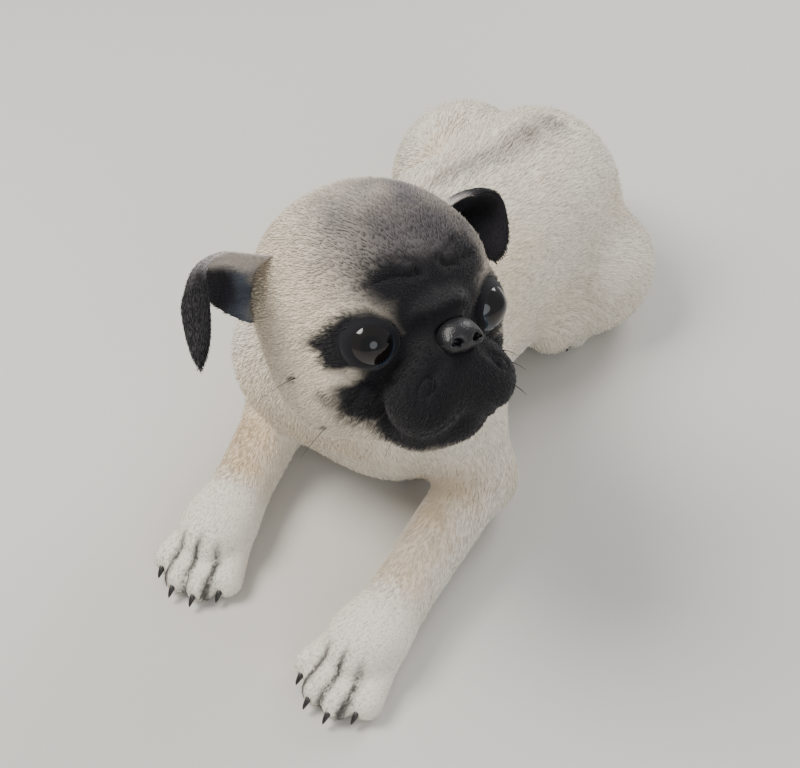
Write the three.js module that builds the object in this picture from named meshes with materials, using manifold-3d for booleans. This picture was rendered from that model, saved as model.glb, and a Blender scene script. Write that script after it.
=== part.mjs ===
// A life-size pug puppy of about eight weeks, lying on its chest with its head
// turned to its left and raised, as a museum shows a still animal.
// Millimetres, +Z up. The puppy faces -Y and its left side is +X. The origin is
// on the floor, at the flat under the breastbone that carries the chest.
// The flesh is one continuous surface, written as a field that says how far a
// point is from the skin. Each named part is a net laid over its own stretch of
// that surface, and thin cuts part it from its neighbours.

import * as THREE from 'three';
import Module from 'manifold-3d';
import { mergeVertices } from 'three/addons/utils/BufferGeometryUtils.js';

const wasm = await Module();
wasm.setup();

// Driving dimensions

const PARTING = 0.3;            // gap left between two parts that touch
const FLOOR_SINK = 2.2;         // how far a resting curve is flattened by the floor

const NET = { torso: 11, neck: 9, head: 5.1, foreleg: 7, thigh: 9, paw: 4.4, tail: 5 };

const HEAD = {
  at: [20.5, -43.1, 129.8],
  yaw: 69.9,
  pitch: -30.2,
  roll: 12.0,
  halfWidth: 43,
};

const EYE = {
  radius: 10,
  centre: [22.5, -25, 0.5],
  outward: 28,
  lidRing: [8.9, 7.5],
  lidThickness: 2.1,
  lidForward: 5.0,
};

const NOSE = { centre: [0, -43.5, -2], radii: [7.4, 6.2, 5.9] };

const EAR_THICKNESS = 2.4;
// Along each ear from root to tip: its middle line, and the way from its lower
// rim to its upper one. Then, for both, half the width and the depth of the cup.
const EAR = {
  right: {
    side: -1,
    path: [[33, 12, 17], [42, 12, 19], [53, 10, 24], [62, 6, 26.5], [67, 3, 22], [69.5, 1, 12], [71.5, 0, 1]],
    across: [
      [-0.3, -0.45, 0.84], [-0.05, -0.5, 0.86], [0.15, -0.65, 0.74], [0.22, -0.85, 0.46],
      [0.05, -0.97, 0.2], [0, -1, 0.1], [0, -1, 0.1],
    ],
  },
  left: {
    side: 1,
    path: [[34, 12, 16], [41, 11, 21], [46, 8, 26], [49.5, 5, 28], [50, 4, 23], [50, 2, 16], [50, -2, 8]],
    across: [
      [-0.3, -0.45, 0.84], [-0.2, -0.6, 0.77], [-0.15, -0.8, 0.55], [0.05, -0.92, 0.35],
      [0.28, -0.94, 0.15], [0.35, -0.93, 0], [0.35, -0.93, 0],
    ],
  },
};
const EAR_HALF_WIDTH = [13, 14, 15, 14, 12.5, 9.5, 3];
const EAR_CUP = [6, 7, 6, 4, 1.5, 0.5, 0];

const FORELEGS = {
  left: { shoulder: [32, -2, 46], elbow: [45, -7, 18], wrist: [45, -84, 14], heading: -6 },
  right: { shoulder: [-38, -10, 46], elbow: [-48, -16, 19], wrist: [-39, -68, 14], heading: 6 },
};
const FOREARM_RADII = [15.5, 13.5];

const HINDLEGS = {
  left: {
    haunch: [36, 124, 29], haunchRadii: [30, 36, 30], knee: [33, 92, 24], kneeRadii: [15, 20, 20],
    hock: [36, 144, 10.5], foot: [27, 130, 0], heading: 2,
  },
  right: {
    haunch: [-43, 140, 41], haunchRadii: [35, 38, 41], knee: [-56, 92, 27], kneeRadii: [18, 22, 23],
    hock: [-60, 148, 10.5], foot: [-61, 120, 0], heading: -6,
  },
};

const TAIL = {
  path: [[3, 160, 52], [-2, 176, 52], [-13, 183, 44], [-25, 180, 34], [-31, 171, 28]],
  radii: [9.5, 4],
};

// Fields: the distance from a point to a surface, below zero inside

const radians = (degrees) => THREE.MathUtils.degToRad(degrees);

function blend(a, b, width) {
  const overlap = Math.max(width - Math.abs(a - b), 0) / width;
  return Math.min(a, b) - overlap * overlap * width * 0.25;
}

function ellipsoid([cx, cy, cz], [rx, ry, rz]) {
  return (x, y, z) => {
    const [dx, dy, dz] = [x - cx, y - cy, z - cz];
    const whole = Math.hypot(dx / rx, dy / ry, dz / rz);
    const slope = Math.hypot(dx / (rx * rx), dy / (ry * ry), dz / (rz * rz));
    return slope < 1e-9 ? -Math.min(rx, ry, rz) : (whole * (whole - 1)) / slope;
  };
}

function limb([ax, ay, az], [bx, by, bz], ra, rb) {
  const [ux, uy, uz] = [bx - ax, by - ay, bz - az];
  const length2 = ux * ux + uy * uy + uz * uz;
  return (x, y, z) => {
    const along = ((x - ax) * ux + (y - ay) * uy + (z - az) * uz) / length2;
    const t = Math.min(Math.max(along, 0), 1);
    return Math.hypot(x - ax - t * ux, y - ay - t * uy, z - az - t * uz) - ra - t * (rb - ra);
  };
}

function joined(width, ...fields) {
  return (x, y, z) => fields.reduce((sum, field) => blend(sum, field(x, y, z), width), 1e3);
}

function placed(matrix, field) {
  const inverse = matrix.clone().invert();
  const point = new THREE.Vector3();
  return (x, y, z) => {
    point.set(x, y, z).applyMatrix4(inverse);
    return field(point.x, point.y, point.z);
  };
}

const mirrored = (make) => [1, -1].map(make);

// The net: one point in each cell that the surface crosses, pulled onto it

function net(field, low, high, step) {
  const count = low.map((value, axis) => Math.ceil((high[axis] - value) / step) + 1);
  const place = (i, j, k) => (k * count[1] + j) * count[0] + i;
  const values = new Float64Array(count[0] * count[1] * count[2]);
  for (let k = 0; k < count[2]; k++) {
    for (let j = 0; j < count[1]; j++) {
      for (let i = 0; i < count[0]; i++) {
        const border = [i, j, k].some((n, axis) => n === 0 || n === count[axis] - 1);
        const [x, y, z] = [low[0] + i * step, low[1] + j * step, low[2] + k * step];
        const value = field(x, y, z);
        values[place(i, j, k)] = border ? Math.max(value, step * 0.3) : value;
      }
    }
  }
  untangle(values, place, count);
  const positions = [];
  const cell = new Map();
  for (let k = 0; k < count[2] - 1; k++) {
    for (let j = 0; j < count[1] - 1; j++) {
      for (let i = 0; i < count[0] - 1; i++) {
        const point = cellPoint(values, place, [i, j, k], low, step);
        if (!point) continue;
        cell.set(place(i, j, k), positions.length / 3);
        positions.push(...settle(field, point, low, high, step));
      }
    }
  }
  return netFaces(values, place, count, cell, positions);
}

// Where only two opposite corners of a grid square are inside, the surface would
// touch itself along a line. Of the other two, the one nearest the skin joins
// the inside.
const SQUARES = [[[1, 0, 0], [0, 1, 0]], [[1, 0, 0], [0, 0, 1]], [[0, 1, 0], [0, 0, 1]]];
const UNTANGLE_PASSES = 12;

function untangle(values, place, count) {
  for (let pass = 0, changed = true; changed && pass < UNTANGLE_PASSES; pass++) {
    changed = false;
    for (let k = 0; k < count[2] - 1; k++) {
      for (let j = 0; j < count[1] - 1; j++) {
        for (let i = 0; i < count[0] - 1; i++) {
          for (const [a, b] of SQUARES) {
            const [first, second, third, fourth] = [[0, 0, 0], a, a.map((v, axis) => v + b[axis]), b]
              .map(([u, v, w]) => place(i + u, j + v, k + w));
            if (values[first] < 0 !== values[third] < 0) continue;
            if (values[second] < 0 !== values[fourth] < 0) continue;
            if (values[first] < 0 === values[second] < 0) continue;
            const outer = values[first] < 0 ? [second, fourth] : [first, third];
            values[values[outer[0]] < values[outer[1]] ? outer[0] : outer[1]] = -1e-3;
            changed = true;
          }
        }
      }
    }
  }
}

const EDGES = [];
for (let corner = 0; corner < 8; corner++) {
  for (const bit of [1, 2, 4]) {
    if (!(corner & bit)) EDGES.push([corner, corner | bit]);
  }
}
const cornerOffset = (corner) => [corner & 1, (corner >> 1) & 1, (corner >> 2) & 1];

function cellPoint(values, place, at, low, step) {
  const sum = [0, 0, 0];
  let crossings = 0;
  for (const [from, to] of EDGES) {
    const [a, b] = [cornerOffset(from), cornerOffset(to)];
    const va = values[place(at[0] + a[0], at[1] + a[1], at[2] + a[2])];
    const vb = values[place(at[0] + b[0], at[1] + b[1], at[2] + b[2])];
    if (va < 0 === vb < 0) continue;
    const t = va / (va - vb);
    for (let axis = 0; axis < 3; axis++) sum[axis] += at[axis] + a[axis] + t * (b[axis] - a[axis]);
    crossings += 1;
  }
  return crossings ? sum.map((value, axis) => low[axis] + (step * value) / crossings) : null;
}

function settle(field, point, low, high, step) {
  let [x, y, z] = point;
  const inside = point.every((value, axis) => value > low[axis] + step && value < high[axis] - step);
  const pulls = inside ? 2 : 0;
  const delta = 0.05;
  for (let pull = 0; pull < pulls; pull++) {
    const value = field(x, y, z);
    const gx = (field(x + delta, y, z) - value) / delta;
    const gy = (field(x, y + delta, z) - value) / delta;
    const gz = (field(x, y, z + delta) - value) / delta;
    const size2 = Math.max(gx * gx + gy * gy + gz * gz, 0.2);
    const move = THREE.MathUtils.clamp(value / size2, -0.35 * step, 0.35 * step);
    [x, y, z] = [x - gx * move, y - gy * move, z - gz * move];
  }
  return [x, y, z];
}

function netFaces(values, place, count, cell, positions) {
  const indices = [];
  const quad = (a, b, c, d, turned) => {
    const ring = (turned ? [a, d, c, b] : [a, b, c, d]).map((key) => cell.get(key));
    const at = ring.map((n) => positions.slice(3 * n, 3 * n + 3));
    const across = (m, n) => Math.hypot(...at[m].map((value, axis) => value - at[n][axis]));
    if (across(0, 2) < across(1, 3)) indices.push(ring[0], ring[1], ring[2], ring[0], ring[2], ring[3]);
    else indices.push(ring[1], ring[2], ring[3], ring[1], ring[3], ring[0]);
  };
  for (let k = 0; k < count[2] - 1; k++) {
    for (let j = 0; j < count[1] - 1; j++) {
      for (let i = 0; i < count[0] - 1; i++) {
        const here = values[place(i, j, k)] < 0;
        if (here !== values[place(i + 1, j, k)] < 0) {
          quad(place(i, j - 1, k - 1), place(i, j, k - 1), place(i, j, k), place(i, j - 1, k), !here);
        }
        if (here !== values[place(i, j + 1, k)] < 0) {
          quad(place(i - 1, j, k - 1), place(i - 1, j, k), place(i, j, k), place(i, j, k - 1), !here);
        }
        if (here !== values[place(i, j, k + 1)] < 0) {
          quad(place(i - 1, j - 1, k), place(i, j - 1, k), place(i, j, k), place(i - 1, j, k), !here);
        }
      }
    }
  }
  const geometry = new THREE.BufferGeometry();
  geometry.setAttribute('position', new THREE.Float32BufferAttribute(positions, 3));
  geometry.setIndex(indices);
  return geometry;
}

// Solids, joins and cuts

function solid(geometry, matrix) {
  let closed = geometry.clone();
  closed.deleteAttribute('normal');
  closed.deleteAttribute('uv');
  if (matrix) closed.applyMatrix4(matrix);
  closed = mergeVertices(closed, 1e-4);
  const vertProperties = new Float32Array(closed.getAttribute('position').array);
  const triVerts = new Uint32Array(closed.getIndex().array);
  return new wasm.Manifold(new wasm.Mesh({ numProp: 3, vertProperties, triVerts }));
}

function largest(shape) {
  const pieces = shape.decompose();
  return pieces.reduce((best, piece) => (piece.volume() > best.volume() ? piece : best));
}

function geometryOf(shape) {
  const mesh = largest(shape).getMesh();
  const geometry = new THREE.BufferGeometry();
  geometry.setAttribute('position', new THREE.Float32BufferAttribute(mesh.vertProperties, mesh.numProp));
  geometry.setIndex(Array.from(mesh.triVerts));
  geometry.computeVertexNormals();
  return geometry;
}

function ball(centre, radii, grow = 0, around = 12) {
  const sphere = new THREE.SphereGeometry(1, around, Math.round(around * 0.6));
  const size = radii.map((radius) => radius + grow);
  return solid(sphere, new THREE.Matrix4().makeScale(...size).setPosition(...centre));
}

function block(low, high, grow = 0) {
  const size = low.map((value, axis) => high[axis] - value + 2 * grow);
  const middle = low.map((value, axis) => (high[axis] + value) / 2);
  return solid(new THREE.BoxGeometry(...size), new THREE.Matrix4().setPosition(...middle));
}

// A plane is a point on it and the way its normal looks. The kept side is the
// one that the normal points to, less the stated gap.
function keep(shape, [point, normal], gap = 0) {
  const facing = new THREE.Vector3(...normal).normalize();
  return shape.trimByPlane(facing.toArray(), facing.dot(new THREE.Vector3(...point)) + gap);
}
const turned = ([point, normal]) => [point, normal.map((value) => -value)];

// The floor seen from a place: what lies under it is cut away, which leaves a true flat
function floorIn(place) {
  const toLocal = place.clone().invert();
  const point = new THREE.Vector3().applyMatrix4(toLocal);
  const up = new THREE.Vector3(0, 0, 1).transformDirection(toLocal);
  return [point.toArray(), up.toArray()];
}

// Head, in its own frame: +X the puppy's left, -Y out of the face, +Z the crown

const headPlace = new THREE.Matrix4().compose(
  new THREE.Vector3(...HEAD.at),
  new THREE.Quaternion().setFromEuler(
    new THREE.Euler(radians(HEAD.pitch), radians(HEAD.roll), radians(HEAD.yaw), 'ZXY'),
  ),
  new THREE.Vector3(1, 1, 1),
);

function headField() {
  const skull = joined(
    14,
    ellipsoid([0, 8, 9], [HEAD.halfWidth, 43, 40]),
    ellipsoid([0, -14, 15], [29, 18, 19]),
    ...mirrored((side) => ellipsoid([side * 25, -1, -14], [18, 24, 20])),
  );
  const orbits = joined(
    6,
    skull,
    ...mirrored((side) => ellipsoid([side * 22, -19, 1], [14.5, 12, 13.5])),
  );
  const muzzle = joined(
    6,
    ellipsoid([0, -33, -13], [19, 14, 14]),
    ...mirrored((side) => ellipsoid([side * 11.5, -35, -22], [13.5, 11.5, 12.5])),
    ellipsoid([0, -37, 6], [11, 7.5, 6]),
  );
  const jaw = joined(
    8,
    ellipsoid([0, -27, -35], [16, 11.5, 8.5]),
    ...mirrored((side) => limb([side * 22, 2, -24], [side * 9, -22, -33], 15, 9)),
  );
  return joined(5, orbits, muzzle, jaw);
}

// Trunk, legs and tail, in the puppy's frame

function trunkField() {
  return joined(
    18,
    ellipsoid([-3, -5, 42], [41, 32, 42 + FLOOR_SINK]),
    ellipsoid([-9, 26, 54], [46, 44, 50]),
    ellipsoid([-7, 70, 53], [47, 48, 52]),
    ellipsoid([0, 114, 52], [44, 44, 51]),
    ellipsoid([1, 140, 49], [38, 28, 44]),
  );
}

function neckField() {
  return joined(
    16,
    limb([-7, 4, 66], [2, -28, 106], 40, 35),
    ellipsoid([-4, -20, 66], [40, 27, 30]),
    ellipsoid([-32, -26, 66], [27, 24, 36]),
  );
}

function forelegField({ shoulder, elbow, wrist }) {
  return joined(
    10,
    limb(shoulder, elbow, 21, 15),
    limb(elbow, wrist, ...FOREARM_RADII),
  );
}

function hindlegField({ haunch, haunchRadii, knee, kneeRadii, hock, foot }) {
  return joined(
    9,
    ellipsoid(haunch, haunchRadii),
    ellipsoid(knee, kneeRadii),
    limb(hock, [foot[0], foot[1], 9], 11, 9.5),
  );
}

function tailField() {
  const [path, [thick, thin]] = [TAIL.path, TAIL.radii];
  const lengths = path.length - 1;
  const radius = (n) => thick + ((thin - thick) * n) / lengths;
  return joined(3, ...path.slice(1).map((end, n) => limb(path[n], end, radius(n), radius(n + 1))));
}

// A paw, in its own frame: the wrist or hock at the origin, toes towards -Y

const PAW = {
  fore: { size: 0.94, palm: [16.5, 20, 14], reach: [-33, -40, -40.5, -34] },
  hind: { size: 0.86, palm: [14, 20, 12.5], reach: [-34, -40, -40, -34] },
};
const TOE_OFFSETS = [-14.5, -5.2, 5.2, 14.5];
// Toe radius at the knuckle and at the tip
const TOE_RADII = [7.2, 7.4];
const CLAW = { length: 6, radius: 1.7, drop: 2.4 };

function toeLine({ size, reach }, n) {
  const x = TOE_OFFSETS[n] * size;
  return { from: [x * 0.72, -18 * size, 10 * size], to: [x, reach[n] * size, 6.4 * size] };
}

function pawField(paw) {
  const { size, palm } = paw;
  const toes = TOE_OFFSETS.map((offset, n) => {
    const { from, to } = toeLine(paw, n);
    return limb(from, to, TOE_RADII[0] * size, TOE_RADII[1] * size);
  });
  return joined(2.2, ellipsoid([0, -13 * size, palm[2] - 1], palm), ...toes);
}

function claws(paw) {
  return TOE_OFFSETS.map((offset, n) => {
    const { to } = toeLine(paw, n);
    const tip = new THREE.ConeGeometry(CLAW.radius, CLAW.length, 6);
    const lean = new THREE.Matrix4().makeRotationX(radians(-90) - Math.atan2(CLAW.drop, CLAW.length));
    const start = to[1] - TOE_RADII[1] * paw.size - CLAW.length * 0.18;
    return solid(tip, lean.setPosition(to[0], start, to[2] - 0.6));
  });
}

const pawPlace = (x, y, heading) =>
  new THREE.Matrix4().makeRotationZ(radians(heading)).setPosition(x, y, 0);

const paws = Object.entries({ left: 1, right: -1 }).flatMap(([side]) => {
  const [fore, hind] = [FORELEGS[side], HINDLEGS[side]];
  return [
    { name: `paw_front_${side}`, kind: PAW.fore, place: pawPlace(fore.wrist[0], fore.wrist[1], fore.heading) },
    { name: `paw_hind_${side}`, kind: PAW.hind, place: pawPlace(hind.foot[0], hind.foot[1], hind.heading) },
  ];
});

// The whole puppy

const trunk = trunkField();
const neck = neckField();
const head = placed(headPlace, headField());
const tail = tailField();
const legs = Object.values(FORELEGS).map(forelegField);
const thighs = Object.values(HINDLEGS).map(hindlegField);
const feet = paws.map(({ kind, place }) => placed(place, pawField(kind)));

function body(x, y, z) {
  let field = blend(trunk(x, y, z), neck(x, y, z), 22);
  field = blend(field, head(x, y, z), 12);
  for (const leg of legs) field = blend(field, leg(x, y, z), 10);
  for (const thigh of thighs) field = blend(field, thigh(x, y, z), 8);
  for (const foot of feet) field = blend(field, foot(x, y, z), 4);
  return blend(field, tail(x, y, z), 5);
}

// Where the parts meet

const NECK_BASE = [[-6, -16, 84], [-0.05, 0.72, -0.69]];
const NAPE_IN_HEAD = { out: [0.45, 0.78, -0.43], distance: 31 };

const nape = (() => {
  const out = new THREE.Vector3(...NAPE_IN_HEAD.out).normalize();
  const point = out.clone().multiplyScalar(NAPE_IN_HEAD.distance);
  return {
    local: [point.toArray(), out.toArray()],
    world: [
      point.clone().applyMatrix4(headPlace).toArray(),
      out.clone().transformDirection(headPlace).toArray(),
    ],
  };
})();

function shoulderCut(side, grow = 0) {
  const { shoulder, elbow } = FORELEGS[side];
  const out = Math.sign(shoulder[0]);
  const upper = ball([shoulder[0] + out * 18, shoulder[1] - 2, 28], [28, 30, 38], grow);
  const inner = elbow[0] - out * 21;
  const [low, high] = [inner, inner + out * 80].sort((a, b) => a - b);
  return upper.add(block([low, -200, -20], [high, -30, 34], grow));
}

function haunchCut(side, grow = 0) {
  const { haunch, haunchRadii } = HINDLEGS[side];
  const out = Math.sign(haunch[0]);
  const radii = [haunchRadii[0] + 4, haunchRadii[1] + 16, haunchRadii[2] + 6];
  return ball([haunch[0] + out * 12, haunch[1] - 6, 24], radii, grow);
}

const tailCut = (grow = 0) => ball([-14, 181, 42], [29, 15, 27], grow);

function wristPlane(side) {
  const { wrist, heading } = FORELEGS[side];
  const turn = radians(heading);
  return [[wrist[0], wrist[1] - 3, 0], [-Math.sin(turn), Math.cos(turn), 0]];
}

function footCut({ kind, place }, grow = 0) {
  const { size } = kind;
  return ball([0, -22 * size, 4], [24 * size, 32 * size, 25 * size], grow).transform(place.elements);
}

// The flesh inside a box, as a solid. The box may lie in a part's own frame.
function flesh(low, high, step, place = new THREE.Matrix4()) {
  const point = new THREE.Vector3();
  const local = (x, y, z) => {
    point.set(x, y, z).applyMatrix4(place);
    return body(point.x, point.y, point.z);
  };
  return keep(solid(net(local, low, high, step)), floorIn(place));
}

// A thin curved wall: rows of points on its middle surface, given a thickness
function wall(rows, thickness) {
  const [last, across] = [rows.length - 1, rows[0].length];
  const at = (i, j) => rows[THREE.MathUtils.clamp(i, 0, last)][THREE.MathUtils.clamp(j, 0, across - 1)];
  const positions = [];
  for (const side of [0.5, -0.5]) {
    for (let i = 0; i <= last; i++) {
      for (let j = 0; j < across; j++) {
        const along = at(i + 1, j).clone().sub(at(i - 1, j));
        const over = at(i, j + 1).clone().sub(at(i, j - 1));
        const out = along.cross(over).normalize().multiplyScalar(side * thickness);
        positions.push(...at(i, j).clone().add(out).toArray());
      }
    }
  }
  const indices = [];
  const back = rows.length * across;
  const index = (i, j) => i * across + j;
  const strip = (a, b, c, d) => indices.push(a, b, c, a, c, d);
  for (let i = 0; i < last; i++) {
    for (let j = 0; j < across - 1; j++) {
      const [a, b, c, d] = [index(i, j), index(i + 1, j), index(i + 1, j + 1), index(i, j + 1)];
      strip(a, b, c, d);
      strip(back + d, back + c, back + b, back + a);
    }
    const [low, high] = [index(i, 0), index(i + 1, 0)];
    strip(low, back + low, back + high, high);
    const [near, far] = [index(i, across - 1), index(i + 1, across - 1)];
    strip(near, far, back + far, back + near);
  }
  for (let j = 0; j < across - 1; j++) {
    const [a, b] = [index(0, j), index(0, j + 1)];
    strip(a, b, back + b, back + a);
    const [c, d] = [index(last, j), index(last, j + 1)];
    strip(c, back + c, back + d, d);
  }
  const geometry = new THREE.BufferGeometry();
  geometry.setAttribute('position', new THREE.Float32BufferAttribute(positions, 3));
  geometry.setIndex(indices);
  return geometry;
}

// The same wall with its faces turned round, for the other side of the puppy
function facingOut(geometry) {
  const shape = solid(geometry);
  if (shape.volume() > 0) return shape;
  const index = geometry.getIndex();
  for (let n = 0; n < index.count; n += 3) {
    const second = index.getX(n + 1);
    index.setX(n + 1, index.getX(n + 2));
    index.setX(n + 2, second);
  }
  return solid(geometry);
}

function along(list, t) {
  const place = t * (list.length - 1);
  const n = Math.min(Math.floor(place), list.length - 2);
  const mix = (a, b) => a + (b - a) * (place - n);
  return Array.isArray(list[n]) ? list[n].map((value, axis) => mix(value, list[n + 1][axis]))
    : mix(list[n], list[n + 1]);
}

// Head pieces, all in the head's frame

const EAR_ROWS = 10;
const EAR_COLUMNS = 5;

function ear({ side, path, across }, grow = 0) {
  const mirror = (x, y, z) => new THREE.Vector3(side * x, y, z);
  const curve = new THREE.CatmullRomCurve3(path.map((point) => new THREE.Vector3(...point)));
  const rows = [];
  for (let i = 0; i < EAR_ROWS; i++) {
    const t = i / (EAR_ROWS - 1);
    const reach = grow * (t < 0.5 ? -2 : 2) * Number(i === 0 || i === EAR_ROWS - 1);
    const centre = curve.getPoint(t).addScaledVector(curve.getTangent(t), reach);
    const over = new THREE.Vector3(...along(across, t)).normalize();
    const behind = curve.getTangent(t).cross(over).normalize();
    const row = [];
    for (let j = 0; j < EAR_COLUMNS; j++) {
      const v = (2 * j) / (EAR_COLUMNS - 1) - 1;
      const point = centre.clone()
        .addScaledVector(over, v * (along(EAR_HALF_WIDTH, t) + grow))
        .addScaledVector(behind, -along(EAR_CUP, t) * (1 - v * v));
      row.push(mirror(point.x, point.y, point.z));
    }
    rows.push(row);
  }
  return facingOut(wall(rows, EAR_THICKNESS + 2 * grow));
}

function eyePlace(side) {
  const [x, y, z] = EYE.centre;
  const turn = new THREE.Matrix4().makeRotationZ(radians(side * EYE.outward));
  return turn.setPosition(side * x, y, z);
}

function eyeball(side, grow = 0) {
  return ball([0, 0, 0], [EYE.radius, EYE.radius, EYE.radius], grow, 14).transform(eyePlace(side).elements);
}

// Upper and lower lid as one soft ring, wider than it is high
function lids(side) {
  const [wide, high] = EYE.lidRing;
  const ring = new THREE.TorusGeometry(wide, EYE.lidThickness, 5, 16);
  const shaped = new THREE.Matrix4().makeRotationX(Math.PI / 2)
    .multiply(new THREE.Matrix4().makeScale(1, high / wide, 1));
  return solid(ring, eyePlace(side).multiply(new THREE.Matrix4().setPosition(0, -EYE.lidForward, 0))
    .multiply(shaped));
}

const noseBall = (grow = 0) => ball(NOSE.centre, NOSE.radii, grow, 18);

function nostril(side) {
  const [x, y, z] = NOSE.centre;
  const place = new THREE.Matrix4().makeRotationY(radians(side * 25)).setPosition(x + side * 3.7, y - 5.4, z - 0.6);
  return ball([0, 0, 0], [1.9, 3, 1.4], 0, 10).transform(place.elements);
}

// The line between the lips, from the right corner of the mouth to the left,
// and the cleft that joins it to the nose
const MOUTH = [[-27, -22, -27], [-22, -33, -32], [-14, -42, -33], [-7, -46, -29], [0, -48, -26],
  [7, -46, -29], [14, -42, -33], [22, -33, -32], [27, -22, -27]];
const CLEFT = [[0, -52, -7], [0, -51, -14], [0, -50, -21], [0, -50, -27]];
const SLIT = { width: 1.3, depth: 7, steps: 10 };

function slit(path, inward) {
  const curve = new THREE.CatmullRomCurve3(path.map((point) => new THREE.Vector3(...point)));
  const rows = [];
  for (let n = 0; n <= SLIT.steps; n++) {
    const outer = curve.getPoint(n / SLIT.steps);
    const inner = outer.clone().addScaledVector(inward(outer).normalize(), SLIT.depth);
    rows.push([outer, inner]);
  }
  return facingOut(wall(rows, SLIT.width));
}

const towardsThroat = (point) => new THREE.Vector3(-point.x, -8 - point.y, -26 - point.z);
const straightBack = () => new THREE.Vector3(0, 1, 0);

function headPart() {
  let shape = keep(flesh([-52, -58, -50], [52, 48, 52], NET.head, headPlace), turned(nape.local));
  for (const side of [1, -1]) shape = shape.add(lids(side));
  for (const side of [1, -1]) shape = shape.subtract(eyeball(side, PARTING));
  for (const form of Object.values(EAR)) shape = shape.subtract(ear(form, 2 * PARTING));
  shape = shape.subtract(noseBall(PARTING));
  return shape.subtract(slit(MOUTH, towardsThroat)).subtract(slit(CLEFT, straightBack));
}

const nosePart = () => noseBall().subtract(nostril(1)).subtract(nostril(-1));

// Body pieces, in the puppy's frame

const hindPaws = paws.filter(({ kind }) => kind === PAW.hind);
const sides = ['left', 'right'];

function torso() {
  let shape = keep(flesh([-100, -60, -7], [90, 190, 125], NET.torso), NECK_BASE);
  for (const side of sides) shape = shape.subtract(shoulderCut(side, PARTING));
  for (const side of sides) shape = shape.subtract(haunchCut(side, PARTING));
  for (const paw of hindPaws) shape = shape.subtract(footCut(paw, PARTING));
  return shape.subtract(tailCut(PARTING));
}

function neckPart() {
  const below = keep(flesh([-75, -80, 30], [75, 45, 145], NET.neck), nape.world, PARTING);
  let shape = keep(below, turned(NECK_BASE), PARTING);
  for (const side of sides) shape = shape.subtract(shoulderCut(side, PARTING));
  return shape;
}

function foreleg(side) {
  const { elbow, wrist } = FORELEGS[side];
  const low = [elbow[0] - 46, wrist[1] - 20, -5];
  const high = [elbow[0] + 46, elbow[1] + 48, 76];
  return keep(flesh(low, high, NET.foreleg).intersect(shoulderCut(side)), wristPlane(side));
}

function thigh(side) {
  const { haunch } = HINDLEGS[side];
  const shape = flesh([haunch[0] - 56, 50, -6], [haunch[0] + 62, 200, 100], NET.thigh);
  let part = shape.intersect(haunchCut(side));
  for (const paw of hindPaws) part = part.subtract(footCut(paw, PARTING));
  return part.subtract(tailCut(PARTING));
}

const PAW_BOX = [[-31, -60, -5], [31, 16, 40]];

function frontPaw(side) {
  const paw = paws.find(({ name }) => name === `paw_front_${side}`);
  let shape = flesh(...PAW_BOX, NET.paw, paw.place);
  for (const claw of claws(paw.kind)) shape = shape.add(claw);
  return keep(shape.transform(paw.place.elements), turned(wristPlane(side)), PARTING);
}

function hindPaw(side) {
  const paw = paws.find(({ name }) => name === `paw_hind_${side}`);
  let shape = flesh(...PAW_BOX, NET.paw, paw.place).transform(paw.place.elements);
  shape = shape.intersect(footCut(paw));
  for (const claw of claws(paw.kind)) shape = shape.add(claw.transform(paw.place.elements));
  return shape;
}

const tailPart = () => flesh([-50, 150, 5], [30, 200, 78], NET.tail).intersect(tailCut());

// Materials

const coat = (color, roughness = 0.9) => new THREE.MeshStandardMaterial({ color, roughness, metalness: 0 });
const FAWN = coat(0xe3dacb);
const MASK = coat(0x2a2628);
const PALE = coat(0xf0ebe2);
const TAN = coat(0xd8c3a0);
const LEATHER = coat(0x17161a, 0.45);
const GLOSS = coat(0x120d0c, 0.08);

// The model

const pug = new THREE.Group();

function add(group, name, shape, material) {
  const mesh = new THREE.Mesh(geometryOf(shape), material);
  mesh.name = name;
  group.add(mesh);
}

add(pug, 'torso', torso(), FAWN);
add(pug, 'neck', neckPart(), FAWN);
add(pug, 'tail', tailPart(), FAWN);
for (const side of sides) {
  add(pug, `leg_front_${side}`, foreleg(side), TAN);
  add(pug, `paw_front_${side}`, frontPaw(side), PALE);
  add(pug, `leg_hind_${side}`, thigh(side), FAWN);
  add(pug, `paw_hind_${side}`, hindPaw(side), PALE);
}

const headGroup = new THREE.Group();
headGroup.applyMatrix4(headPlace);
add(headGroup, 'head', headPart(), FAWN);
add(headGroup, 'nose', nosePart(), LEATHER);
for (const side of sides) {
  const sign = EAR[side].side;
  add(headGroup, `ear_${side}`, ear(EAR[side]), MASK);
  add(headGroup, `eye_${side}`, eyeball(sign), GLOSS);
}
pug.add(headGroup);

export default pug;
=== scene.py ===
# %% [markdown]
# # A pug puppy, lying with its head turned
# A short-coated puppy of about eight weeks. The solids of the frame give the
# size and the pose. Here one skin is laid just inside them, and the coat, the
# ears, the eyes, the nose, the claws and the whiskers are set on that skin.
# The pieces are in metres, in the frame's own axes: +Z up, the rump toward +Y.

# %% Load the frame
import math

import bmesh
import bpy
import numpy as np
from mathutils import Matrix, Vector


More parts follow.
